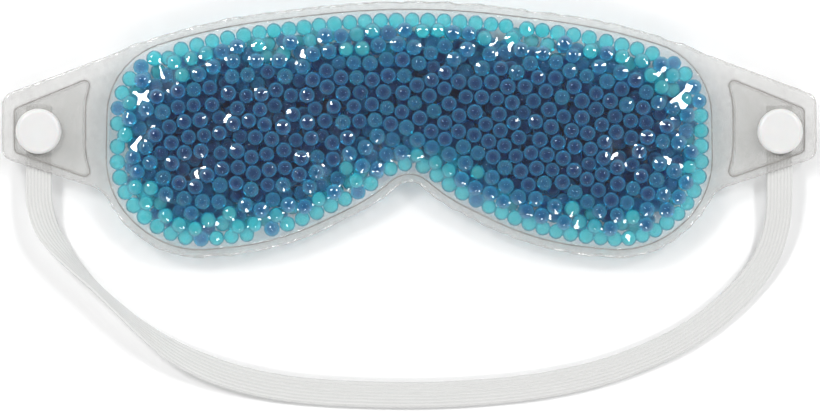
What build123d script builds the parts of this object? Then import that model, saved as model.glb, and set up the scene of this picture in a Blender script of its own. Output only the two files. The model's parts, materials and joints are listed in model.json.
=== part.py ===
"""Gel-pearl eye pillow: a clear welded envelope of pearls with an elastic head strap.

Millimetres. X runs along the mask, +Y is the forehead edge, +Z is the front face.
The origin is on the flat back of the envelope, midway between the two temples.
"""
import math
import os

from build123d import *

# envelope
chamber_length = 170.6      # between the weld lines at the temples
chamber_height = 67.6       # from the brow to the bottom of the cheek lobes
chamber_brow = 34.7         # height of the brow weld line above the origin
film_thickness = 0.4
edge_height = 0.6           # straight wall between the weld and the dome's rolled shoulder
flange_width = 2.2          # welded rim around the chamber

# gel pearls
pearl_diameter = 4.5
pearl_gap = 0.1
pearl_layers = 3

# tabs
tab_length = 29.3           # from the temple weld line to the tab's tip
tab_tip_top = 10.4
tab_tip_bottom = -7.0
tab_root_top = 25.0
tab_root_bottom = -19.5
tab_root_inset = 9.5        # how far the tab's root reaches back under the rim
tab_corner_radius = 3.4
tab_root_radius = 5.0       # also the tightest inside corner of the rim
insert_thickness = 0.3
insert_clearance = 0.05
insert_margin = 3.4         # from the insert's outer edge to the tip of the tab
insert_length = 22.0
insert_tip_top = 6.8
insert_tip_bottom = -5.4
insert_root_top = 15.8
insert_root_bottom = -13.2
insert_bulge = 2.4          # how far the insert's inner side bows towards the tab
insert_corner_radius = 1.5

# buttons
button_inset = 10.3         # from the tip of the tab to the button's axis
button_y = 0.4
cap_diameter = 12.7
cap_thickness = 2.9
cap_edge_radius = 1.3
post_diameter = 4.0
running_clearance = 0.06    # between the post and the holes that it turns in
back_diameter = 11.0
back_thickness = 1.3
back_edge_radius = 0.5
rivet_diameter = 2.6        # neck of the post, pressed into the back disc

# elastic strap
strap_width = 7.3
strap_thickness = 1.1
layer_gap = 0.1             # between the tab, the strap's layers and the discs
strap_end_reach = 6.2       # from the button's axis to the fold
strap_tuck = 7.0            # how far the folded layer runs back past the button
swing_clearance = 0.4
strap_bottom = 0.65         # mean height of the free run's underside: it rolls a little

# values that follow from the sizes above
pearl_pitch = pearl_diameter + pearl_gap
layer_pitch = pearl_pitch * math.sqrt(2 / 3)
cavity_depth = (pearl_layers - 1) / 2 * layer_pitch + pearl_diameter / 2 + pearl_gap
weld_plane = film_thickness + cavity_depth
edge_radius = cavity_depth - edge_height
tip_x = chamber_length / 2 + tab_length
root_x = chamber_length / 2 - tab_root_inset
button_x = tip_x - button_inset
tab_top = weld_plane + film_thickness
tab_bottom = weld_plane - film_thickness
upper_strap_z = tab_bottom - layer_gap - strap_thickness / 2
lower_strap_z = upper_strap_z - strap_thickness - layer_gap
back_top = lower_strap_z - strap_thickness / 2 - layer_gap
swing_y = tab_tip_bottom - 6.5
strap_z = strap_bottom + strap_thickness / 2


def smooth_radii(points, share=0.48):
    """Radius of each corner's fillet, so that neighbouring arcs all but meet."""
    radii = []
    count = len(points)
    for i in range(count):
        corner = Vector(*points[i])
        before = Vector(*points[i - 1]) - corner
        after = Vector(*points[(i + 1) % count]) - corner
        half_angle = math.radians(before.get_angle(after)) / 2
        radii.append(share * min(before.length, after.length) * math.tan(half_angle))
    return radii


# the chamber's outline as fractions of its half length and its height, brow to nose notch
outline_shape = [
    (0.0, 0.024),
    (0.640, -0.073),
    (0.995, -0.213),
    (1.002, -0.783),
    (0.790, -1.016),
    (0.428, -0.970),
    (0.123, -0.784),
    (0.0, -0.649),
]
right_side = [
    (x * chamber_length / 2, chamber_brow + y * chamber_height) for x, y in outline_shape
]
left_side = [(-x, y) for x, y in right_side[-2:0:-1]]
chamber_points = right_side + left_side

with BuildSketch() as chamber:
    with BuildLine():
        FilletPolyline(*chamber_points, radius=smooth_radii(chamber_points), close=True)
    make_face()

with BuildSketch() as tabs:
    for side in (1, -1):
        with BuildLine():
            Polyline(
                (side * root_x, tab_root_top),
                (side * tip_x, tab_tip_top),
                (side * tip_x, tab_tip_bottom),
                (side * root_x, tab_root_bottom),
                close=True,
            )
        make_face()
    fillet(tabs.vertices().filter_by(lambda v: abs(v.X) > button_x), tab_corner_radius)

with BuildSketch() as rim:
    add(chamber.sketch)
    offset(amount=flange_width)
    add(tabs.sketch)
    # growing and shrinking it again rounds the corners where the tabs leave the rim
    offset(amount=tab_root_radius)
    offset(amount=-tab_root_radius)

with BuildSketch() as inserts:
    for side in (1, -1):
        outer_x = tip_x - insert_margin
        inner_x = outer_x - insert_length
        middle_y = (insert_root_top + insert_root_bottom) / 2
        with BuildLine():
            ThreePointArc(
                (side * inner_x, insert_root_bottom),
                (side * (inner_x + insert_bulge), middle_y),
                (side * inner_x, insert_root_top),
            )
            Polyline(
                (side * inner_x, insert_root_top),
                (side * outer_x, insert_tip_top),
                (side * outer_x, insert_tip_bottom),
                (side * inner_x, insert_root_bottom),
            )
        make_face()
    fillet(inserts.vertices(), insert_corner_radius)

button_points = [(-button_x, button_y), (button_x, button_y)]
hole_radius = post_diameter / 2 + running_clearance

# ---- envelope: two films, welded to each other around the rim
with BuildPart() as cavity:
    with BuildSketch():
        add(chamber.sketch)
    extrude(amount=cavity_depth)
    fillet(cavity.faces().sort_by(Axis.Z)[-1].edges(), edge_radius)

with BuildPart() as dome:
    with BuildSketch():
        add(chamber.sketch)
        offset(amount=film_thickness)
    extrude(amount=cavity_depth + film_thickness)
    fillet(dome.faces().sort_by(Axis.Z)[-1].edges(), edge_radius + film_thickness)

with BuildPart() as film:
    with BuildSketch():
        add(rim.sketch)
    extrude(amount=film_thickness)
    add(dome.part)
    add(cavity.part, mode=Mode.SUBTRACT)
    with BuildSketch():
        add(inserts.sketch)
        offset(amount=insert_clearance)
    extrude(amount=insert_thickness / 2 + insert_clearance, mode=Mode.SUBTRACT)
    with Locations(*button_points):
        Cylinder(hole_radius, 3 * film_thickness, mode=Mode.SUBTRACT)

with BuildPart() as front_film:
    with Locations((0, 0, weld_plane)):
        add(film.part)

with BuildPart() as back_film:
    add(mirror(film.part, about=Plane.XY, mode=Mode.PRIVATE).moved(Location((0, 0, weld_plane))))

with BuildPart() as both_inserts:
    with BuildSketch(Plane.XY.offset(weld_plane - insert_thickness / 2)):
        add(inserts.sketch)
        with Locations(*button_points):
            Circle(hole_radius, mode=Mode.SUBTRACT)
    extrude(amount=insert_thickness)

# ---- pearls: close-packed layers, each kept clear of the rolled shoulder
with BuildSketch() as middle_area:
    add(chamber.sketch)
    offset(amount=-(pearl_diameter / 2 + pearl_gap))

with BuildSketch() as outer_area:
    add(chamber.sketch)
    offset(amount=-edge_radius)

row_pitch = pearl_pitch * math.sqrt(3) / 2


def layer_places(area, shift):
    """Centres of one close-packed layer of pearls inside the area."""
    box = area.bounding_box()
    columns = math.ceil(box.max.X / pearl_pitch)
    rows = math.ceil(max(box.max.Y, -box.min.Y) / row_pitch)
    places = []
    for row in range(-rows, rows + 1):
        stagger = pearl_pitch / 2 * (row % 2)
        for column in range(-columns, columns + 1):
            x = column * pearl_pitch + stagger
            y = row * row_pitch + shift
            if area.is_inside((x, y, 0)):
                places.append((x, y))
    return places


pearl_nodes = []
for layer, name in enumerate(("back_pearls", "middle_pearls", "front_pearls")):
    above = layer - (pearl_layers - 1) / 2
    area = middle_area if above == 0 else outer_area
    shift = abs(above) * row_pitch * 2 / 3
    with BuildPart(Plane.XY.offset(weld_plane + above * layer_pitch)) as pearls:
        with Locations(*layer_places(area.face(), shift)):
            Sphere(pearl_diameter / 2)
    pearls.part.label = name
    print(name, len(pearls.part.solids()), "pearls")
    pearl_nodes.append(pearls)

# ---- buttons: a cap whose post is pressed into a disc behind the strap
with BuildPart() as cap:
    with Locations((0, 0, tab_top + layer_gap)):
        Cylinder(cap_diameter / 2, cap_thickness, align=(Align.CENTER, Align.CENTER, Align.MIN))
    fillet(cap.faces().sort_by(Axis.Z)[-1].edges(), cap_edge_radius)
    with BuildSketch(Plane.XY.offset(tab_top + layer_gap)):
        Circle(post_diameter / 2)
    extrude(amount=-(tab_top + layer_gap - back_top))
    with BuildSketch(Plane.XY.offset(back_top)):
        Circle(rivet_diameter / 2)
    extrude(amount=-back_thickness)

with BuildPart() as disc:
    with Locations((0, 0, back_top)):
        Cylinder(back_diameter / 2, back_thickness, align=(Align.CENTER, Align.CENTER, Align.MAX))
    fillet(disc.faces().sort_by(Axis.Z)[0].edges(), back_edge_radius)
    with Locations((0, 0, back_top)):
        Cylinder(rivet_diameter / 2, 3 * back_thickness, mode=Mode.SUBTRACT)

# ---- strap end: folded under itself at the button, both layers holed for the post
fold_y = button_y + strap_end_reach
fold_radius = (upper_strap_z - lower_strap_z) / 2
end_y = swing_y + strap_thickness + swing_clearance  # the end is rounded by half a thickness

with BuildPart() as strap_end:
    with BuildSketch(Plane.YZ):
        with BuildLine():
            route = FilletPolyline(
                (end_y, upper_strap_z),
                (fold_y + fold_radius, upper_strap_z),
                (fold_y + fold_radius, lower_strap_z),
                (button_y - strap_tuck, lower_strap_z),
                radius=fold_radius * 0.98,
            )
            offset(route, amount=strap_thickness / 2, side=Side.BOTH)
        make_face()
    extrude(amount=strap_width / 2, both=True)
    with Locations((0, button_y, upper_strap_z)):
        Cylinder(hole_radius, 6 * strap_thickness, mode=Mode.SUBTRACT)

# ---- free run of the strap, from one tab's lower edge around to the other's
strap_route = [
    (-button_x, swing_y, upper_strap_z),
    (-button_x, -20.6, 4.0),
    (-101.8, -28.6, 2.3),
    (-95.3, -36.6, 1.2),
    (-88.9, -43.2, strap_z),
    (-81.0, -50.6, strap_z),
    (-72.4, -57.9, strap_z),
    (-62.2, -64.4, strap_z),
    (-47.6, -69.9, strap_z),
    (-29.6, -73.1, strap_z),
    (-1.0, -74.2, strap_z),
    (19.5, -73.4, strap_z),
    (37.6, -71.5, strap_z),
    (54.4, -67.9, strap_z),
    (70.2, -61.9, strap_z),
    (79.9, -56.6, strap_z),
    (88.2, -50.4, strap_z),
    (95.6, -43.1, strap_z),
    (101.4, -35.0, 1.4),
    (button_x, -24.4, 3.6),
    (button_x, swing_y, upper_strap_z),
]


def cord_radii(points, share=0.45):
    """Fillet radius at each inner point of an open route."""
    radii = []
    for before, corner, after in zip(points, points[1:], points[2:]):
        run_in = Vector(*before) - Vector(*corner)
        run_out = Vector(*after) - Vector(*corner)
        half_turn = math.radians(180 - run_in.get_angle(run_out)) / 2
        radii.append(share * min(run_in.length, run_out.length) / math.tan(half_turn))
    return radii


strap_radii = cord_radii(strap_route)
print("strap radii", [round(r) for r in strap_radii])

with BuildPart() as elastic_strap:
    with BuildLine() as strap_line:
        FilletPolyline(*strap_route, radius=strap_radii)
    strap_wire = strap_line.wire()
    with BuildSketch(Plane(origin=strap_route[0], x_dir=(1, 0, 0), z_dir=strap_wire % 0)):
        Rectangle(strap_width, strap_thickness)
    sweep(path=strap_wire)
swept_volume = strap_width * strap_thickness * strap_wire.length
print("strap length", round(strap_wire.length, 1))
print("strap volume / (section x length)", round(elastic_strap.part.volume / swept_volume, 3))

# ---- one STEP file per node
os.makedirs("parts", exist_ok=True)
front_film.part.label = "front_film"
export_step(front_film.part, "parts/front_film.step")
back_film.part.label = "back_film"
export_step(back_film.part, "parts/back_film.step")
elastic_strap.part.label = "elastic_strap"
export_step(elastic_strap.part, "parts/elastic_strap.step")
for pearls in pearl_nodes:
    export_step(pearls.part, f"parts/{pearls.part.label}.step")

for side, hand in ((-1, "left"), (1, "right")):
    insert = both_inserts.solids().sort_by(Axis.X)[0 if side < 0 else -1]
    place = Location((side * button_x, button_y, 0))
    pieces = {
        "tab_insert": insert,
        "button_cap": cap.part.moved(place),
        "button_disc": disc.part.moved(place),
        "strap_end": strap_end.part.moved(Location((side * button_x, 0, 0))),
    }
    for piece, shape in pieces.items():
        shape.label = f"{hand}_{piece}"
        export_step(shape, f"parts/{shape.label}.step")
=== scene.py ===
import json
import math

import bpy
import numpy as np
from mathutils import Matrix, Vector


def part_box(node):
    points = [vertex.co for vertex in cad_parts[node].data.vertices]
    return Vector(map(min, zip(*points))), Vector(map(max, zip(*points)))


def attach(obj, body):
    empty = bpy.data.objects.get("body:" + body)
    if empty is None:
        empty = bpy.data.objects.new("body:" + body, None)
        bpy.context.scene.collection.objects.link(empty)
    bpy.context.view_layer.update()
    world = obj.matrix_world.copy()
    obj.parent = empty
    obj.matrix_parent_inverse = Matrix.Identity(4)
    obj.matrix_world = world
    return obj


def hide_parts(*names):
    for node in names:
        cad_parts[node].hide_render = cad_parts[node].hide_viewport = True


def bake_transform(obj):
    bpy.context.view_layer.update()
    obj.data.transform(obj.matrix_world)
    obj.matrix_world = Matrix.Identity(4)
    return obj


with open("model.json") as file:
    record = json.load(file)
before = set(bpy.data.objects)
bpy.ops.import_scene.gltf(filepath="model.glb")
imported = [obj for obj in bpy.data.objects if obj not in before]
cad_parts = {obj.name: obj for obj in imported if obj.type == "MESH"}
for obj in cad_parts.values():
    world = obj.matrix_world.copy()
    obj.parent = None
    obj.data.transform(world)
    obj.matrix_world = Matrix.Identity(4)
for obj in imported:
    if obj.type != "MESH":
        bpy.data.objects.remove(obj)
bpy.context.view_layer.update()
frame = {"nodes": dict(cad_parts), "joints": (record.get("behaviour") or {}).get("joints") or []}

mm = 0.001
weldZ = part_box("front_film")[0].z
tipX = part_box("front_film")[1].x
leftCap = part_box("left_button_cap")
buttonX = -(leftCap[0].x + leftCap[1].x) / 2
buttonY = (leftCap[0].y + leftCap[1].y) / 2
rng = np.random.default_rng(41)


# ---- camera, floor and light

cameraSetup = dict(lookAt=(0.2 * mm, -20.9 * mm), height=1.5, fieldWidth=0.2306, fieldLevel=0.008)

camData = bpy.data.cameras.new("camera")
camData.sensor_width = 36
camData.lens = 36 * (cameraSetup["height"] - cameraSetup["fieldLevel"]) / cameraSetup["fieldWidth"]
camData.clip_start = 0.01
camera = bpy.data.objects.new("camera", camData)
camera.location = (*cameraSetup["lookAt"], cameraSetup["height"])
bpy.context.scene.collection.objects.link(camera)
bpy.context.scene.camera = camera

lightSetup = dict(
    horizon=1.0,      # the room is bright low down and dim overhead
    zenith=0.10,
    fadeFrom=0.25, fadeTo=0.95,
    floorTone=(0.95, 0.95, 0.95, 1), floorRough=0.9, floorHalf=3, floorDrop=0.0002,
    bounces=28,       # light crosses three layers of pearls and back
    softboxes=[  # place, size, watts
        ((-0.50, 0.42, 0.80), 0.26, 4.4),
        ((0.52, 0.34, 0.75), 0.22, 3.0),
        ((0.10, -0.70, 0.70), 0.24, 2.2),
    ],
)


def makeMaterial(name):
    mat = bpy.data.materials.new(name)
    mat.use_nodes = True
    nodes, links = mat.node_tree.nodes, mat.node_tree.links
    return mat, nodes, links, nodes["Principled BSDF"]


def addNode(nodes, kind, **settings):
    node = nodes.new(kind)
    for key, value in settings.items():
        if hasattr(node, key):
            setattr(node, key, value)
        else:
            node.inputs[key.replace("_", " ")].default_value = value
    return node


def addMesh(name, verts, faces, mat=None, smooth=True):
    mesh = bpy.data.meshes.new(name)
    mesh.from_pydata([tuple(v) for v in verts], [], [tuple(f) for f in faces])
    if smooth:
        mesh.polygons.foreach_set("use_smooth", [True] * len(mesh.polygons))
    if mat:
        mesh.materials.append(mat)
    obj = bpy.data.objects.new(name, mesh)
    bpy.context.scene.collection.objects.link(obj)
    return obj


world = bpy.data.worlds.new("studio")
bpy.context.scene.world = world
world.use_nodes = True
sky = world.node_tree
skyCoords = addNode(sky.nodes, "ShaderNodeTexCoord")
skySplit = addNode(sky.nodes, "ShaderNodeSeparateXYZ")
skyRamp = addNode(sky.nodes, "ShaderNodeMapRange")
skyRamp.inputs["From Min"].default_value = lightSetup["fadeFrom"]
skyRamp.inputs["From Max"].default_value = lightSetup["fadeTo"]
skyRamp.inputs["To Min"].default_value = lightSetup["horizon"]
skyRamp.inputs["To Max"].default_value = lightSetup["zenith"]
sky.links.new(skyCoords.outputs["Generated"], skySplit.inputs["Vector"])
sky.links.new(skySplit.outputs["Z"], skyRamp.inputs["Value"])
sky.links.new(skyRamp.outputs["Result"], sky.nodes["Background"].inputs["Strength"])
sky.nodes["Background"].inputs["Color"].default_value = (1, 1, 1, 1)

for place, size, watts in lightSetup["softboxes"]:
    lamp = bpy.data.lights.new("softbox", "AREA")
    lamp.shape = "DISK"
    lamp.size = size
    lamp.energy = watts
    box = bpy.data.objects.new("softbox", lamp)
    box.location = place
    box.rotation_euler = (Vector((0, 0, 0)) - Vector(place)).to_track_quat("-Z", "Y").to_euler()
    bpy.context.scene.collection.objects.link(box)

floorMat, nodes, links, shader = makeMaterial("paleFloor")
shader.inputs["Base Color"].default_value = lightSetup["floorTone"]
shader.inputs["Roughness"].default_value = lightSetup["floorRough"]
reach, floorZ = lightSetup["floorHalf"], -lightSetup["floorDrop"]
floor = addMesh("floor", [(x * reach, y * reach, floorZ) for x, y in ((-1, -1), (1, -1), (1, 1), (-1, 1))],
                [(0, 1, 2, 3)], floorMat, smooth=False)

scene = bpy.context.scene
scene.view_settings.view_transform = "Standard"
scene.cycles.max_bounces = lightSetup["bounces"]
scene.cycles.transmission_bounces = lightSetup["bounces"]
scene.cycles.transparent_max_bounces = 32
print("camera, floor and light")


# ---- elastic strap: a ribbed band along one smooth route

strapShape = dict(
    width=7.3 * mm,
    thickness=1.1 * mm,
    ribs=8,
    ribDepth=0.20 * mm,
    pointsPerRib=4,
    step=1.1 * mm,
)

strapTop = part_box("left_strap_end")[1].z
strapLevel = strapTop - strapShape["thickness"] / 2
swingJoint = next(j for j in frame["joints"] if j["name"] == "strap_swing")
swingY = swingJoint["pos_m"][1]

strapRoute = [
    (-buttonX, -6.0 * mm, strapLevel),
    (-buttonX, swingY, strapLevel),
    (-buttonX, -0.0206, 0.0050),
    (-0.1018, -0.0286, 0.0048),
    (-0.0953, -0.0366, 0.0047),
    (-0.0889, -0.0432, 0.0045),
    (-0.0810, -0.0506, 0.0040),
    (-0.0724, -0.0579, 0.0032),
    (-0.0622, -0.0644, 0.0023),
    (-0.0476, -0.0699, 0.0015),
    (-0.0296, -0.0731, 0.0009),
    (-0.0010, -0.0742, 0.0008),
    (0.0195, -0.0734, 0.0008),
    (0.0376, -0.0715, 0.0008),
    (0.0544, -0.0679, 0.0008),
    (0.0702, -0.0619, 0.0009),
    (0.0799, -0.0566, 0.0010),
    (0.0882, -0.0504, 0.0012),
    (0.0956, -0.0431, 0.0015),
    (0.1014, -0.0350, 0.0022),
    (buttonX, -0.0244, 0.0040),
    (buttonX, swingY, strapLevel),
    (buttonX, -6.0 * mm, strapLevel),
]

# how far the band stands up on its edge: (share of the route, degrees)
strapRoll = [(0.0, 0), (0.05, 0), (0.10, 50), (0.15, 78), (0.205, 66), (0.25, 38), (0.29, 16),
             (0.34, 4), (0.40, 0), (0.78, 0), (0.88, -5), (0.96, 0), (1.0, 0)]


def splinePoints(points, name):
    curve = bpy.data.curves.new(name, "CURVE")
    curve.dimensions = "3D"
    spline = curve.splines.new("NURBS")
    spline.points.add(len(points) - 1)
    for p, co in zip(spline.points, points):
        p.co = (*co, 1)
    spline.order_u = 3
    spline.use_endpoint_u = True
    spline.resolution_u = 24
    holder = bpy.data.objects.new(name, curve)
    line = bpy.data.meshes.new_from_object(holder)
    found = np.array([v.co[:] for v in line.vertices])
    bpy.data.objects.remove(holder)
    bpy.data.curves.remove(curve)
    bpy.data.meshes.remove(line)
    return found


def evenSteps(points, step):
    runs = np.linalg.norm(np.diff(points, axis=0), axis=1)
    along = np.concatenate([[0], np.cumsum(runs)])
    count = max(4, int(round(along[-1] / step)))
    marks = np.linspace(0, along[-1], count + 1)
    return np.stack([np.interp(marks, along, points[:, k]) for k in range(3)], 1), marks


def ribProfile(shape):
    # across and up, once round the band's section
    perSide = shape["ribs"] * shape["pointsPerRib"]
    half, thick = shape["width"] / 2, shape["thickness"] / 2
    top = []
    for i in range(perSide + 1):
        u = -1 + 2 * i / perSide
        wave = abs(math.sin(math.pi * shape["ribs"] * (u + 1) / 2))
        edge = max(0.0, 1 - abs(u) ** 14)
        up = (thick - shape["ribDepth"] * (1 - wave ** 0.7)) * (0.45 + 0.55 * edge)
        top.append((u * half, up))
    return top + [(-x, -y) for x, y in top]


def ribbedBand(name, path, acrossDirs, shape, mat, marks):
    profile = ribProfile(shape)
    tangents = np.gradient(path, axis=0)
    tangents /= np.linalg.norm(tangents, axis=1)[:, None]
    across = acrossDirs - (acrossDirs * tangents).sum(1)[:, None] * tangents
    across /= np.linalg.norm(across, axis=1)[:, None]
    up = np.cross(across, tangents)
    verts = [c + a * x + u * y for c, a, u in zip(path, across, up) for x, y in profile]
    count, rings = len(profile), len(path)
    faces = []
    for i in range(rings - 1):
        for j in range(count):
            k = (j + 1) % count
            faces.append((i * count + j, i * count + k, (i + 1) * count + k, (i + 1) * count + j))
    faces.append(tuple(range(count)))
    faces.append(tuple((rings - 1) * count + j for j in reversed(range(count))))
    obj = addMesh(name, verts, faces, mat)
    uv = obj.data.uv_layers.new(name="UVMap")
    girth = np.linspace(0, 2, count + 1)
    for poly in obj.data.polygons:
        for loop, vert in zip(poly.loop_indices, poly.vertices):
            ring, j = divmod(vert, count)
            wrap = count if j == 0 and max(poly.vertices) % count == count - 1 else j
            uv.data[loop].uv = (girth[wrap], marks[ring] / shape["width"])
    return obj


elasticLook = dict(rough=0.78, sheen=0.25, knitScale=(8, 9, 1), courseShare=0.5,
                   ribScale=0.3142, ribPhase=-1.5708, ribShare=0.45,
                   darkAt=0.30, dark=(0.46, 0.46, 0.45, 1), light=(0.74, 0.74, 0.73, 1))
elasticMat, nodes, links, shader = makeMaterial("ribbedElastic")
shader.inputs["Roughness"].default_value = elasticLook["rough"]
shader.inputs["Sheen Weight"].default_value = elasticLook["sheen"]
coords = addNode(nodes, "ShaderNodeTexCoord")
knit = addNode(nodes, "ShaderNodeMapping")
knit.inputs["Scale"].default_value = elasticLook["knitScale"]
links.new(coords.outputs["UV"], knit.inputs["Vector"])
courses = addNode(nodes, "ShaderNodeTexWave", bands_direction="Y", Scale=1.0, Distortion=1.2, Detail=2.0)
links.new(knit.outputs["Vector"], courses.inputs["Vector"])
ribs = addNode(nodes, "ShaderNodeTexWave", bands_direction="X", Scale=elasticLook["ribScale"], Distortion=0.0)
ribs.inputs["Phase Offset"].default_value = elasticLook["ribPhase"]
links.new(knit.outputs["Vector"], ribs.inputs["Vector"])
lint = addNode(nodes, "ShaderNodeTexNoise", Scale=40.0, Detail=4.0)
links.new(coords.outputs["UV"], lint.inputs["Vector"])
mixHeight = addNode(nodes, "ShaderNodeMath", operation="MULTIPLY_ADD")
links.new(courses.outputs["Fac"], mixHeight.inputs[0])
mixHeight.inputs[1].default_value = elasticLook["courseShare"]
links.new(lint.outputs["Fac"], mixHeight.inputs[2])
# painted shade: rib and knit-course heights darken the colour in the grooves and lighten the tops; the lint
# noise adds random tone
grooveShadeAndLint = addNode(nodes, "ShaderNodeMath", operation="MULTIPLY_ADD")
links.new(ribs.outputs["Fac"], grooveShadeAndLint.inputs[0])
grooveShadeAndLint.inputs[1].default_value = elasticLook["ribShare"]
links.new(mixHeight.outputs["Value"], grooveShadeAndLint.inputs[2])
tone = addNode(nodes, "ShaderNodeValToRGB")
tone.color_ramp.elements[0].position = elasticLook["darkAt"]
tone.color_ramp.elements[0].color = elasticLook["dark"]
tone.color_ramp.elements[1].position = 1.0
tone.color_ramp.elements[1].color = elasticLook["light"]
links.new(grooveShadeAndLint.outputs["Value"], tone.inputs["Fac"])
links.new(tone.outputs["Color"], shader.inputs["Base Color"])
bump = addNode(nodes, "ShaderNodeBump", Strength=0.5, Distance=0.00012)
links.new(mixHeight.outputs["Value"], bump.inputs["Height"])
links.new(bump.outputs["Normal"], shader.inputs["Normal"])

strapLine, strapMarks = evenSteps(splinePoints(strapRoute, "strapRoute"), strapShape["step"])
share = strapMarks / strapMarks[-1]
roll = np.radians(np.interp(share, [r[0] for r in strapRoll], [r[1] for r in strapRoll]))
for _ in range(12):  # ease the roll's corners
    roll[1:-1] = (roll[:-2] + 2 * roll[1:-1] + roll[2:]) / 4
heading = np.gradient(strapLine, axis=0)
heading /= np.linalg.norm(heading, axis=1)[:, None]
flat = np.cross(heading, (0, 0, 1))
flat /= np.linalg.norm(flat, axis=1)[:, None]
rise = np.cross(flat, heading)
acrossBand = flat * np.cos(roll)[:, None] + rise * np.sin(roll)[:, None]
band = ribbedBand("strapBand", strapLine, acrossBand, strapShape, elasticMat, strapMarks)
lowest = strapShape["width"] / 2 * np.abs(np.sin(roll)) + strapShape["thickness"] / 2 * np.cos(roll)
print("strap", round(float(strapMarks[-1]), 4), "m, lowest",
      round(float((strapLine[:, 2] - lowest).min() / mm), 2), "mm")

endShape = dict(foldY=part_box("left_strap_end")[1].y, startY=-6.4 * mm, tailY=-6.6 * mm, steps=12)
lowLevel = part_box("left_strap_end")[0].z + strapShape["thickness"] / 2
bendR = (strapLevel - lowLevel) / 2


def strapEnd(name, x):
    centreY = endShape["foldY"] - bendR - strapShape["thickness"] / 2
    outLeg = [(x, y, strapLevel) for y in np.linspace(endShape["startY"], centreY, endShape["steps"])]
    turn = [(x, centreY + bendR * math.cos(a), (strapLevel + lowLevel) / 2 + bendR * math.sin(a))
            for a in np.linspace(math.pi / 2, -math.pi / 2, endShape["steps"])[1:-1]]
    backLeg = [(x, y, lowLevel) for y in np.linspace(centreY, endShape["tailY"], endShape["steps"])]
    path = np.array(outLeg + turn + backLeg)
    marks = np.concatenate([[0], np.cumsum(np.linalg.norm(np.diff(path, axis=0), axis=1))])
    return ribbedBand(name, path, np.tile((1.0, 0.0, 0.0), (len(path), 1)), strapShape, elasticMat, marks)


leftEnd = strapEnd("leftStrapEnd", -buttonX)
rightEnd = strapEnd("rightStrapEnd", buttonX)


# ---- outlines of the envelope, its rim and its tabs

envelope = dict(
    chamberLength=170.6 * mm,
    chamberHeight=67.6 * mm,
    brow=34.7 * mm,
    outline=[(0.0, 0.024), (0.640, -0.073), (0.995, -0.213), (1.002, -0.783), (0.790, -1.016),
             (0.428, -0.970), (0.123, -0.784), (0.0, -0.649)],
    rimWidth=2.2 * mm,
    filmThickness=0.3 * mm,
    grid=0.56 * mm,
    crinkle=0.28 * mm,
    shoulder=13.0 * mm,     # how far in from the weld the pack reaches its full thickness
)

tab = dict(
    rootX=75.8 * mm, rootTop=25.0 * mm, rootBottom=-19.5 * mm,
    tipTop=10.4 * mm, tipBottom=-7.0 * mm, cornerRadius=3.4 * mm,
)

window = dict(
    outerX=tipX - 3.4 * mm, innerX=tipX - 25.4 * mm, bulge=2.4 * mm,
    tipTop=6.8 * mm, tipBottom=-5.4 * mm, rootTop=15.8 * mm, rootBottom=-13.2 * mm,
)


def roundedLoop(corners, radii=None, share=0.48, steps=10):
    # the corner points with an arc at each, as one closed list
    pts = np.array(corners, float)
    out = []
    for i in range(len(pts)):
        a, b, c = pts[i - 1], pts[i], pts[(i + 1) % len(pts)]
        u, w = a - b, c - b
        lu, lw = np.linalg.norm(u), np.linalg.norm(w)
        u, w = u / lu, w / lw
        half = math.acos(max(-1, min(1, float(u @ w)))) / 2
        radius = share * min(lu, lw) * math.tan(half) if radii is None else radii[i]
        centre = b + (u + w) / np.linalg.norm(u + w) * radius / math.sin(half)
        s, e = b + u * radius / math.tan(half), b + w * radius / math.tan(half)
        a0 = math.atan2(*(s - centre)[::-1])
        turn = (math.atan2(*(e - centre)[::-1]) - a0 + math.pi) % (2 * math.pi) - math.pi
        for k in np.linspace(0, 1, steps):
            out.append(centre + radius * np.array([math.cos(a0 + turn * k), math.sin(a0 + turn * k)]))
    return np.array(out)


def insideDistance(loop, x, y):
    # distance to the loop, positive inside it
    p = np.stack([x.ravel(), y.ravel()], 1)
    best = np.full(len(p), 1e9)
    inside = np.zeros(len(p), bool)
    for a, b in zip(loop, np.roll(loop, -1, 0)):
        d = b - a
        size = float(d @ d)
        if size < 1e-16:
            continue
        t = np.clip(((p - a) @ d) / size, 0, 1)
        gap = p - a - t[:, None] * d
        best = np.minimum(best, (gap * gap).sum(1))
        if a[1] != b[1]:
            crosses = (a[1] > p[:, 1]) != (b[1] > p[:, 1])
            cut = a[0] + (p[:, 1] - a[1]) * d[0] / (b[1] - a[1])
            inside ^= crosses & (p[:, 0] < cut)
    dist = np.sqrt(best)
    return np.where(inside, dist, -dist).reshape(x.shape)


halfX = envelope["chamberLength"] / 2
rightSide = [(u * halfX, envelope["brow"] + v * envelope["chamberHeight"]) for u, v in envelope["outline"]]
chamberLoop = roundedLoop(rightSide + [(-x, y) for x, y in rightSide[-2:0:-1]])
tabCorners = [(tab["rootX"], tab["rootTop"]), (tipX, tab["tipTop"]), (tipX, tab["tipBottom"]),
              (tab["rootX"], tab["rootBottom"])]
tabRadii = [1 * mm, tab["cornerRadius"], tab["cornerRadius"], 1 * mm]
rightTab = roundedLoop(tabCorners, tabRadii)
middleY = (window["rootTop"] + window["rootBottom"]) / 2
windowCorners = [
    (window["innerX"], window["rootTop"]), (window["outerX"], window["tipTop"]),
    (window["outerX"], window["tipBottom"]), (window["innerX"], window["rootBottom"]),
    (window["innerX"] + window["bulge"] * 0.8, middleY - 7 * mm),
    (window["innerX"] + window["bulge"] * 0.8, middleY + 7 * mm),
]
windowRadii = [1.5 * mm, 1.5 * mm, 1.5 * mm, 1.5 * mm, 20 * mm, 20 * mm]
rightWindow = roundedLoop(windowCorners, windowRadii)
flipX = np.array([-1.0, 1.0])

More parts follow.
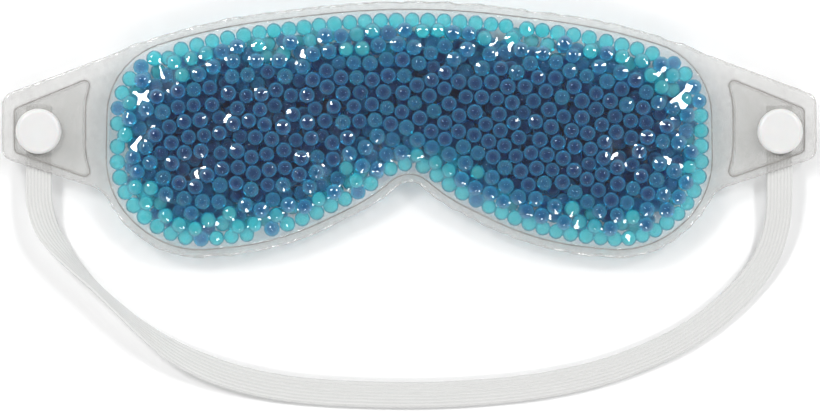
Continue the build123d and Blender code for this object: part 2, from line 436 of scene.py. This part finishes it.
cell = envelope["grid"]
gridX = np.arange(-tipX - 4 * cell, tipX + 5 * cell, cell)
gridY = np.arange(-41 * mm, 43 * mm, cell)
meshX, meshY = np.meshgrid(gridX, gridY, indexing="ij")
chamberDist = insideDistance(chamberLoop, meshX, meshY)
tabDist = insideDistance(rightTab, np.abs(meshX), meshY)
windowDist = insideDistance(rightWindow, np.abs(meshX), meshY)


def waves(x, y, sizes, seed):
    # a few crossed ripples of the given lengths, from -1 to 1
    own = np.random.default_rng(seed)
    total = 0
    for size in sizes:
        for _ in range(3):
            angle, phase = own.uniform(0, math.pi), own.uniform(0, 2 * math.pi)
            total = total + np.sin((x * math.cos(angle) + y * math.sin(angle)) * 2 * math.pi / size + phase)
    return total / (3 * len(sizes))


rimDist = chamberDist + envelope["rimWidth"] + 0.35 * mm * waves(meshX, meshY, (9 * mm, 4 * mm), 5)
blendK = 3.0 * mm  # the rim runs into the tab's edge in a soft corner
mixH = np.clip(0.5 + (rimDist - tabDist) / (2 * blendK), 0, 1)
outerDist = tabDist * (1 - mixH) + rimDist * mixH + blendK * mixH * (1 - mixH)
outerDist = outerDist + 0.12 * mm * waves(meshX, meshY, (5 * mm, 3 * mm), 9)
print("outlines")


# ---- gel pearls, shaken down inside the chamber

pearl = dict(count=1130, smallest=4.35 * mm, largest=4.75 * mm, rounds=200, quickRounds=90,
             weldGap=0.75 * mm, startInset=4 * mm, filmGap=0.45 * mm, push=0.36, sink=0.02 * mm,
             leastRoom=0.15 * mm, rough=0.04, bending=1.34, faceting=2,
             # three looks of painted shade, given out by the distance from the chamber's edge: pearls further
             # in get darker, bluer colours and denser absorption standing in for light lost through more
             # layers of gel; heart and rim are painted shade tones across each pearl's face
             edgeBand=6.2 * mm, middleBand=15.0 * mm, bandJitter=3.6 * mm,
             deep=dict(heartEdge=0.06, rimEdge=0.52, clear=0.66, tint=(0.10, 0.90, 0.985), density=300.0,
                       heart=(0.026, 0.12, 0.36, 1), rim=(0.13, 0.62, 0.98, 1)),
             middle=dict(heartEdge=0.06, rimEdge=0.55, clear=0.72, tint=(0.08, 0.93, 0.99), density=280.0,
                         heart=(0.05, 0.36, 0.68, 1), rim=(0.14, 0.76, 0.98, 1)),
             edge=dict(heartEdge=0.30, rimEdge=0.85, clear=0.70, tint=(0.05, 0.98, 0.998), density=230.0,
                       heart=(0.14, 0.94, 1.0, 1), rim=(0.0, 0.36, 0.60, 1)))


def sample(field, x, y):
    i = np.clip((x - gridX[0]) / cell, 0, len(gridX) - 1.001)
    j = np.clip((y - gridY[0]) / cell, 0, len(gridY) - 1.001)
    i0, j0 = i.astype(int), j.astype(int)
    fi, fj = i - i0, j - j0
    return (field[i0, j0] * (1 - fi) * (1 - fj) + field[i0 + 1, j0] * fi * (1 - fj)
            + field[i0, j0 + 1] * (1 - fi) * fj + field[i0 + 1, j0 + 1] * fi * fj)


slopeX, slopeY = np.gradient(chamberDist, cell)
halfThick = weldZ - pearl["filmGap"]


def settlePearls():
    n = pearl["count"]
    radius = rng.uniform(pearl["smallest"], pearl["largest"], n) / 2
    inner = np.argwhere(chamberDist > pearl["startInset"])
    pick = inner[rng.choice(len(inner), n, replace=False)]
    place = np.stack([gridX[pick[:, 0]], gridY[pick[:, 1]],
                      weldZ + rng.uniform(-1, 1, n) * 0.5 * halfThick], 1)
    reach = envelope["shoulder"]
    rounds = pearl["rounds"]
    for _ in range(rounds):
        gap = place[:, None, :] - place[None, :, :]
        dist = np.sqrt((gap * gap).sum(2)) + 1e-9
        over = np.clip(radius[:, None] + radius[None, :] - dist, 0, None)
        np.fill_diagonal(over, 0)
        place += pearl["push"] * (gap / dist[:, :, None] * over[:, :, None]).sum(1)
        place[:, 2] -= pearl["sink"]
        near = sample(chamberDist, place[:, 0], place[:, 1])
        least = radius + pearl["weldGap"]
        short = np.clip(least - near, 0, None)
        place[:, 0] += short * sample(slopeX, place[:, 0], place[:, 1])
        place[:, 1] += short * sample(slopeY, place[:, 0], place[:, 1])
        inward = np.clip((near - least) / (reach - least), 0, 1)
        room = np.maximum((halfThick - radius) * np.sqrt(1 - (1 - inward) ** 2), pearl["leastRoom"])
        place[:, 2] = np.clip(place[:, 2], weldZ - room, weldZ + room)
    return place, radius


pearlPlaces, pearlRadii = settlePearls()
print("pearls settled")


def newTree(name, inputs):
    tree = bpy.data.node_groups.new(name, "GeometryNodeTree")
    tree.interface.new_socket("Geometry", in_out="INPUT", socket_type="NodeSocketGeometry")
    ids = {}
    for label, kind, value in inputs:
        sock = tree.interface.new_socket(label, in_out="INPUT", socket_type=kind)
        if value is not None:
            sock.default_value = value
        ids[label] = sock.identifier
    tree.interface.new_socket("Geometry", in_out="OUTPUT", socket_type="NodeSocketGeometry")
    tree.is_modifier = True
    return tree, ids, tree.nodes.new("NodeGroupInput"), tree.nodes.new("NodeGroupOutput")


def runTree(obj, tree, ids, values, name):
    modifier = obj.modifiers.new("nodes", "NODES")
    modifier.node_group = tree
    for label, value in values.items():
        modifier[ids[label]] = value
    bpy.context.view_layer.update()
    result = obj.evaluated_get(bpy.context.evaluated_depsgraph_get())
    mesh = bpy.data.meshes.new_from_object(result)
    mesh.name = name
    obj.modifiers.remove(modifier)
    bpy.data.objects.remove(obj)
    made = bpy.data.objects.new(name, mesh)
    bpy.context.scene.collection.objects.link(made)
    return made


def gelMaterial(name, look):
    mat, nodes, links, shader = makeMaterial(name)
    shader.inputs["Roughness"].default_value = pearl["rough"]
    shader.inputs["IOR"].default_value = pearl["bending"]
    shader.inputs["Transmission Weight"].default_value = look["clear"]
    coords = addNode(nodes, "ShaderNodeTexCoord")
    dimple = addNode(nodes, "ShaderNodeTexNoise", Scale=700.0, Detail=2.0)
    links.new(coords.outputs["Object"], dimple.inputs["Vector"])
    bump = addNode(nodes, "ShaderNodeBump", Strength=0.03, Distance=0.0002)
    links.new(dimple.outputs["Fac"], bump.inputs["Height"])
    links.new(bump.outputs["Normal"], shader.inputs["Normal"])
    # painted shade: the base colour runs from the heart tone to the rim tone as the surface turns away,
    # standing in for the dark and light rings that light bending draws in each pearl
    rimWeight = addNode(nodes, "ShaderNodeLayerWeight", Blend=0.5)
    facingShadeRamp = addNode(nodes, "ShaderNodeValToRGB")
    facingShadeRamp.color_ramp.elements[0].position = look["heartEdge"]
    facingShadeRamp.color_ramp.elements[0].color = look["heart"]
    facingShadeRamp.color_ramp.elements[1].position = look["rimEdge"]
    facingShadeRamp.color_ramp.elements[1].color = look["rim"]
    links.new(rimWeight.outputs["Facing"], facingShadeRamp.inputs["Fac"])
    links.new(facingShadeRamp.outputs["Color"], shader.inputs["Base Color"])
    gel = addNode(nodes, "ShaderNodeVolumeAbsorption", Density=look["density"])
    gel.inputs["Color"].default_value = (*look["tint"], 1)
    links.new(gel.outputs["Volume"], nodes["Material Output"].inputs["Volume"])
    return mat


deepMat = gelMaterial("deepPearlPaintedShade", pearl["deep"])
middleMat = gelMaterial("midPearlPaintedShade", pearl["middle"])
edgeMat = gelMaterial("cyanGelPearl", pearl["edge"])

tree, ids, treeIn, treeOut = newTree("pearlsOnPoints", [("Radius", "NodeSocketFloat", 1 * mm),
                                                        ("Material", "NodeSocketMaterial", None)])
ball = tree.nodes.new("GeometryNodeMeshIcoSphere")
ball.inputs["Subdivisions"].default_value = pearl["faceting"]
scatter = tree.nodes.new("GeometryNodeInstanceOnPoints")
sizes = tree.nodes.new("GeometryNodeInputNamedAttribute")
sizes.data_type = "FLOAT"
sizes.inputs["Name"].default_value = "size"
turn = tree.nodes.new("FunctionNodeRandomValue")
turn.data_type = "FLOAT_VECTOR"
turn.inputs["Max"].default_value = (6.28, 6.28, 6.28)
turn.inputs["Seed"].default_value = 7
realize = tree.nodes.new("GeometryNodeRealizeInstances")
smooth = tree.nodes.new("GeometryNodeSetShadeSmooth")
paint = tree.nodes.new("GeometryNodeSetMaterial")
tree.links.new(treeIn.outputs["Radius"], ball.inputs["Radius"])
tree.links.new(treeIn.outputs["Geometry"], scatter.inputs["Points"])
tree.links.new(ball.outputs["Mesh"], scatter.inputs["Instance"])
tree.links.new(sizes.outputs["Attribute"], scatter.inputs["Scale"])
tree.links.new(turn.outputs["Value"], scatter.inputs["Rotation"])
tree.links.new(scatter.outputs["Instances"], realize.inputs["Geometry"])
tree.links.new(realize.outputs["Geometry"], smooth.inputs["Geometry"])
tree.links.new(smooth.outputs["Geometry"], paint.inputs["Geometry"])
tree.links.new(treeIn.outputs["Material"], paint.inputs["Material"])
tree.links.new(paint.outputs["Geometry"], treeOut.inputs["Geometry"])


def pearlPiece(name, chosen, mat):
    seeds = addMesh(name + "Seeds", pearlPlaces[chosen], [])
    attr = seeds.data.attributes.new("size", "FLOAT", "POINT")
    attr.data.foreach_set("value", (pearlRadii[chosen] / mm).astype(np.float32))
    return runTree(seeds, tree, ids, {"Radius": 1 * mm, "Material": mat}, name)


# painted shade by depth: the further a pearl lies from the chamber's edge, the darker the material it gets
edgeDepth = sample(chamberDist, pearlPlaces[:, 0], pearlPlaces[:, 1])
edgeDepth += np.random.default_rng(23).normal(0, pearl["bandJitter"], len(edgeDepth))
atEdge = edgeDepth < pearl["edgeBand"]
inMiddle = ~atEdge & (edgeDepth < pearl["middleBand"])
pearls = pearlPiece("deepPearls", ~atEdge & ~inMiddle, deepMat)
middlePearls = pearlPiece("midShadePearls", inMiddle, middleMat)
edgePearls = pearlPiece("edgePearls", atEdge, edgeMat)
print("gel pearls", [len(p.data.polygons) for p in (pearls, middlePearls, edgePearls)], "faces")


# ---- films: a sheet that tents over the pearls and is welded flat round the rim

film = dict(over=0.12 * mm, weldInset=0.5 * mm, seat=0.3 * mm, passes=60, slack=0.22 * mm,
            slackWaves=(7 * mm, 3.5 * mm), rimWaves=(11 * mm, 5 * mm), paneRise=0.12 * mm,
            paneGroove=0.10 * mm, hole=2.35 * mm)
# edgeDark, paneEdgeDark and paneDark are painted shade on the clear film; weldDark darkens the weld in a
# random mottle
filmLook = dict(clear=0.006, welded=0.10, pane=0.05, gloss=0.06, mirror=0.05, mirrorGrazing=0.8,
                grazingPower=5.0, rough=0.3, edgeSolid=0.25, paneEdgeSolid=0.20,
                edgeDark=0.62, paneEdgeDark=0.45, paneDark=0.16, weldDark=0.08,
                dark=(0.22, 0.21, 0.20, 1), light=(0.86, 0.85, 0.83, 1))


def stampPearls(side):
    # the height that the film has to clear, measured away from the weld plane
    top = np.full(chamberDist.shape, -1.0)
    for (px, py, pz), r in zip(pearlPlaces, pearlRadii):
        h = side * (pz - weldZ)
        i0, i1 = np.searchsorted(gridX, (px - r, px + r))
        j0, j1 = np.searchsorted(gridY, (py - r, py + r))
        rest = r * r - (meshX[i0:i1, j0:j1] - px) ** 2 - (meshY[i0:i1, j0:j1] - py) ** 2
        cap = np.where(rest > 0, h + np.sqrt(np.maximum(rest, 0)), -1.0)
        top[i0:i1, j0:j1] = np.maximum(top[i0:i1, j0:j1], cap)
    return top


def tentFilm(side):
    need = stampPearls(side) + film["over"]
    free = chamberDist > film["weldInset"]
    height = np.where(free, np.maximum(need, film["seat"]), film["seat"])
    for _ in range(film["passes"]):
        pad = np.pad(height, 1, mode="edge")
        soft = (pad[:-2, 1:-1] + pad[2:, 1:-1] + pad[1:-1, :-2] + pad[1:-1, 2:]) / 4
        height = np.where(free, np.maximum(soft, need), film["seat"])
    pad = np.pad(height, 1, mode="edge")
    soft = (pad[:-2, 1:-1] + pad[2:, 1:-1] + pad[1:-1, :-2] + pad[1:-1, 2:]) / 4
    height = np.where(free, np.maximum(soft, need), height)
    slack = np.clip((chamberDist - film["weldInset"]) / (4 * mm), 0, 1)
    slack = slack * np.clip((9 * mm - chamberDist) / (5 * mm), 0, 1)
    height += slack * film["slack"] * waves(meshX, meshY, film["slackWaves"], 21 + int(side))
    return np.minimum(height, weldZ - 0.02 * mm) if side < 0 else height


def filmSheet(name, side, mat):
    height = tentFilm(side)
    outside = np.clip(-chamberDist / (1.2 * mm), 0, 1)
    nearTip = np.clip((np.abs(meshX) - halfX - 2 * mm) / (8 * mm), 0, 1)
    ripple = waves(meshX, meshY, film["rimWaves"], 33) * envelope["crinkle"] * outside * (1 - 0.75 * nearTip)
    edge = np.clip(1 - np.abs(windowDist) / (0.7 * mm), 0, 1)
    raised = film["paneRise"] * np.clip(windowDist / (0.6 * mm), 0, 1) - film["paneGroove"] * edge
    z = weldZ + side * (height + raised * (chamberDist < 0)) + ripple
    z = np.where(chamberDist < 0, z, weldZ + side * height)
    middleDist = (outerDist[:-1, :-1] + outerDist[1:, :-1] + outerDist[:-1, 1:] + outerDist[1:, 1:]) / 4
    kept = middleDist > 0
    for cx in (-buttonX, buttonX):
        hole = np.hypot(meshX[:-1, :-1] + cell / 2 - cx, meshY[:-1, :-1] + cell / 2 - buttonY) < film["hole"]
        kept &= ~hole
    gx, gy = np.gradient(outerDist, cell)
    size = np.maximum(np.hypot(gx, gy), 0.3)
    count = np.zeros(meshX.shape, int)
    for di in (0, 1):
        for dj in (0, 1):
            count[di:di + kept.shape[0], dj:dj + kept.shape[1]] += kept
    onEdge = (count > 0) & (count < 4) & (outerDist < 1.2 * cell)
    x = np.where(onEdge, meshX - gx / size * outerDist / size, meshX)
    y = np.where(onEdge, meshY - gy / size * outerDist / size, meshY)
    used = count > 0
    index = np.full(meshX.shape, -1)
    index[used] = np.arange(used.sum())
    ci, cj = np.nonzero(kept)
    quads = np.stack([index[ci, cj], index[ci + 1, cj], index[ci + 1, cj + 1], index[ci, cj + 1]], 1)
    if side < 0:
        quads = quads[:, ::-1]
    verts = np.stack([x[used], y[used], z[used]], 1)
    obj = addMesh(name, verts, quads.tolist(), mat)
    # how solid and how light the film looks, from its welds, windows and cut edge: the dark lines at the cut
    # edge and round the windows and the greyer window panes are painted shade, and the weld is darkened in a
    # random mottle
    inWeld = np.clip(1 - (chamberDist - 0.2 * mm) / (0.9 * mm), 0, 1)
    cutEdge = np.clip(1 - outerDist / (0.55 * mm), 0, 1)
    paneArea = np.clip(windowDist / (0.5 * mm), 0, 1)
    paneEdge = np.clip(1 - np.abs(windowDist - 0.2 * mm) / (0.6 * mm), 0, 1)
    mottle = 0.5 + 0.5 * waves(meshX, meshY, (6 * mm, 2.5 * mm), 44)
    opacity = filmLook["clear"] + inWeld * (filmLook["welded"] * (0.8 + 0.4 * mottle) - filmLook["clear"])
    opacity = opacity + filmLook["pane"] * paneArea + filmLook["edgeSolid"] * cutEdge
    opacity = opacity + filmLook["paneEdgeSolid"] * paneEdge
    shade = 1 - filmLook["edgeDark"] * cutEdge - filmLook["paneEdgeDark"] * paneEdge
    shade = shade - filmLook["paneDark"] * paneArea - filmLook["weldDark"] * mottle * inWeld
    for label, field in (("opacity", np.clip(opacity, 0, 1)), ("shade", np.clip(shade, 0, 1))):
        attr = obj.data.attributes.new(label, "FLOAT", "POINT")
        attr.data.foreach_set("value", field[used].astype(np.float32))
    wall = obj.modifiers.new("wall", "SOLIDIFY")
    wall.thickness = envelope["filmThickness"] * 0.5
    wall.offset = 1
    return obj, z


filmMat, nodes, links, shader = makeMaterial("clearFilm")
shader.inputs["Roughness"].default_value = filmLook["rough"]
coords = addNode(nodes, "ShaderNodeTexCoord")
opacityIn = addNode(nodes, "ShaderNodeAttribute", attribute_name="opacity")
shadeIn = addNode(nodes, "ShaderNodeAttribute", attribute_name="shade")
tone = addNode(nodes, "ShaderNodeValToRGB")
tone.color_ramp.elements[0].color = filmLook["dark"]
tone.color_ramp.elements[1].color = filmLook["light"]
links.new(shadeIn.outputs["Fac"], tone.inputs["Fac"])
links.new(tone.outputs["Color"], shader.inputs["Base Color"])
clear = addNode(nodes, "ShaderNodeBsdfTransparent")
body = addNode(nodes, "ShaderNodeMixShader")
links.new(opacityIn.outputs["Fac"], body.inputs["Fac"])
links.new(clear.outputs["BSDF"], body.inputs[1])
links.new(shader.outputs["BSDF"], body.inputs[2])
shine = addNode(nodes, "ShaderNodeBsdfGlossy", Roughness=filmLook["gloss"])
skin = addNode(nodes, "ShaderNodeTexNoise", Scale=260.0, Detail=3.0)
links.new(coords.outputs["Object"], skin.inputs["Vector"])
bump = addNode(nodes, "ShaderNodeBump", Strength=0.12, Distance=0.0002)
links.new(skin.outputs["Fac"], bump.inputs["Height"])
links.new(bump.outputs["Normal"], shine.inputs["Normal"])
facing = addNode(nodes, "ShaderNodeLayerWeight", Blend=0.5)
links.new(bump.outputs["Normal"], facing.inputs["Normal"])
grazing = addNode(nodes, "ShaderNodeMath", operation="POWER")
grazing.inputs[1].default_value = filmLook["grazingPower"]
links.new(facing.outputs["Facing"], grazing.inputs[0])
mirrorShare = addNode(nodes, "ShaderNodeMapRange")
mirrorShare.inputs["To Min"].default_value = filmLook["mirror"]
mirrorShare.inputs["To Max"].default_value = filmLook["mirrorGrazing"]
links.new(grazing.outputs["Value"], mirrorShare.inputs["Value"])
whole = addNode(nodes, "ShaderNodeMixShader")
links.new(mirrorShare.outputs["Result"], whole.inputs["Fac"])
links.new(body.outputs["Shader"], whole.inputs[1])
links.new(shine.outputs["BSDF"], whole.inputs[2])
links.new(whole.outputs["Shader"], nodes["Material Output"].inputs["Surface"])

frontFilm, frontHeight = filmSheet("frontFilm", 1, filmMat)
backFilm, _ = filmSheet("backFilm", -1, filmMat)
print("films", len(frontFilm.data.polygons), "faces each")


# ---- weld beads: fine ridges along the chamber's outline and round each tab window

# painted shade: the ridges' dark grey stands in for the dark line that light bending draws along each clear
# weld, and the noise spreads that tone at random
weld = dict(radius=0.17 * mm, windowRadius=0.13 * mm, lift=0.16 * mm, step=0.9 * mm, sides=6, rough=0.18,
            dark=(0.16, 0.15, 0.14, 1), light=(0.46, 0.44, 0.42, 1))
weldMat, nodes, links, shader = makeMaterial("weldBead")
shader.inputs["Roughness"].default_value = weld["rough"]
coords = addNode(nodes, "ShaderNodeTexCoord")
beadMottle = addNode(nodes, "ShaderNodeTexNoise", Scale=350.0, Detail=3.0)
links.new(coords.outputs["Object"], beadMottle.inputs["Vector"])
tone = addNode(nodes, "ShaderNodeValToRGB")
tone.color_ramp.elements[0].color = weld["dark"]
tone.color_ramp.elements[1].color = weld["light"]
links.new(beadMottle.outputs["Fac"], tone.inputs["Fac"])
links.new(tone.outputs["Color"], shader.inputs["Base Color"])

tree, ids, treeIn, treeOut = newTree("beadAlongLine", [("Radius", "NodeSocketFloat", 0.2 * mm),
                                                       ("Material", "NodeSocketMaterial", None)])
toCurve = tree.nodes.new("GeometryNodeMeshToCurve")
ring = tree.nodes.new("GeometryNodeCurvePrimitiveCircle")
ring.inputs["Resolution"].default_value = weld["sides"]
toMesh = tree.nodes.new("GeometryNodeCurveToMesh")
realize = tree.nodes.new("GeometryNodeRealizeInstances")
paint = tree.nodes.new("GeometryNodeSetMaterial")
tree.links.new(treeIn.outputs["Geometry"], toCurve.inputs["Mesh"])
tree.links.new(treeIn.outputs["Radius"], ring.inputs["Radius"])
tree.links.new(toCurve.outputs["Curve"], toMesh.inputs["Curve"])
tree.links.new(ring.outputs["Curve"], toMesh.inputs["Profile Curve"])
tree.links.new(toMesh.outputs["Mesh"], realize.inputs["Geometry"])
tree.links.new(realize.outputs["Geometry"], paint.inputs["Geometry"])
tree.links.new(treeIn.outputs["Material"], paint.inputs["Material"])
tree.links.new(paint.outputs["Geometry"], treeOut.inputs["Geometry"])


def beadLoop(name, loop, radius):
    closed = np.vstack([loop, loop[:1]])
    line, _ = evenSteps(np.column_stack([closed, np.zeros(len(closed))]), weld["step"])
    line = line[:-1]
    z = sample(frontHeight, line[:, 0], line[:, 1]) + weld["lift"]
    mesh = bpy.data.meshes.new(name + "Line")
    edges = [(i, (i + 1) % len(line)) for i in range(len(line))]
    mesh.from_pydata([(x, y, h) for (x, y, _), h in zip(line, z)], edges, [])
    guide = bpy.data.objects.new(name + "Line", mesh)
    bpy.context.scene.collection.objects.link(guide)
    return runTree(guide, tree, ids, {"Radius": radius, "Material": weldMat}, name)


beads = [
    beadLoop("chamberWeld", chamberLoop, weld["radius"]),
    beadLoop("rightWindowWeld", rightWindow, weld["windowRadius"]),
    beadLoop("leftWindowWeld", (rightWindow * flipX)[::-1], weld["windowRadius"]),
]
print("weld beads")


# ---- tab inserts and buttons keep their own shapes

insertLook = dict(tone=(0.80, 0.81, 0.76, 1), rough=0.2, thinnest=0.07, thickest=0.15)
insertMat, nodes, links, shader = makeMaterial("clearInsert")
shader.inputs["Base Color"].default_value = insertLook["tone"]
shader.inputs["Roughness"].default_value = insertLook["rough"]
coords = addNode(nodes, "ShaderNodeTexCoord")
cloud = addNode(nodes, "ShaderNodeTexNoise", Scale=90.0, Detail=3.0)
links.new(coords.outputs["Object"], cloud.inputs["Vector"])
amount = addNode(nodes, "ShaderNodeMapRange")
amount.inputs["To Min"].default_value = insertLook["thinnest"]
amount.inputs["To Max"].default_value = insertLook["thickest"]
links.new(cloud.outputs["Fac"], amount.inputs["Value"])
clear = addNode(nodes, "ShaderNodeBsdfTransparent")
whole = addNode(nodes, "ShaderNodeMixShader")
links.new(amount.outputs["Result"], whole.inputs["Fac"])
links.new(clear.outputs["BSDF"], whole.inputs[1])
links.new(shader.outputs["BSDF"], whole.inputs[2])
links.new(whole.outputs["Shader"], nodes["Material Output"].inputs["Surface"])

buttonLook = dict(rough=0.32, glow=0.12, glowDepth=0.001,
                  dark=(0.72, 0.72, 0.715, 1), light=(0.78, 0.78, 0.775, 1))
buttonMat, nodes, links, shader = makeMaterial("whiteButton")
shader.inputs["Roughness"].default_value = buttonLook["rough"]
shader.inputs["Subsurface Weight"].default_value = buttonLook["glow"]
shader.inputs["Subsurface Scale"].default_value = buttonLook["glowDepth"]
coords = addNode(nodes, "ShaderNodeTexCoord")
mottle = addNode(nodes, "ShaderNodeTexNoise", Scale=300.0, Detail=3.0)
links.new(coords.outputs["Object"], mottle.inputs["Vector"])
tone = addNode(nodes, "ShaderNodeValToRGB")
tone.color_ramp.elements[0].color = buttonLook["dark"]
tone.color_ramp.elements[1].color = buttonLook["light"]
links.new(mottle.outputs["Fac"], tone.inputs["Fac"])
links.new(tone.outputs["Color"], shader.inputs["Base Color"])
bump = addNode(nodes, "ShaderNodeBump", Strength=0.08, Distance=0.0001)
links.new(mottle.outputs["Fac"], bump.inputs["Height"])
links.new(bump.outputs["Normal"], shader.inputs["Normal"])

for hand in ("left", "right"):
    for piece, mat in (("tab_insert", insertMat), ("button_cap", buttonMat), ("button_disc", buttonMat)):
        node = frame["nodes"][hand + "_" + piece]
        node.data.materials.clear()
        node.data.materials.append(mat)
print("inserts and buttons")


# ---- every piece goes with its body

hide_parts("front_film")
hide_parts("back_film")
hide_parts("back_pearls", "middle_pearls", "front_pearls")
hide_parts("middle_pearls")
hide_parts("middle_pearls")
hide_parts("elastic_strap")
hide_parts("left_strap_end")
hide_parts("right_strap_end")
for piece, slotName in [(frontFilm, "clear_film"), (backFilm, "clear_film"), (pearls, "gel_pearls"),
                        (middlePearls, "gel_pearls"), (edgePearls, "gel_pearls"),
                        (leftEnd, "elastic"), (rightEnd, "elastic")] + [(b, "clear_film") for b in beads]:
    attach(piece, "envelope")
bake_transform(band)
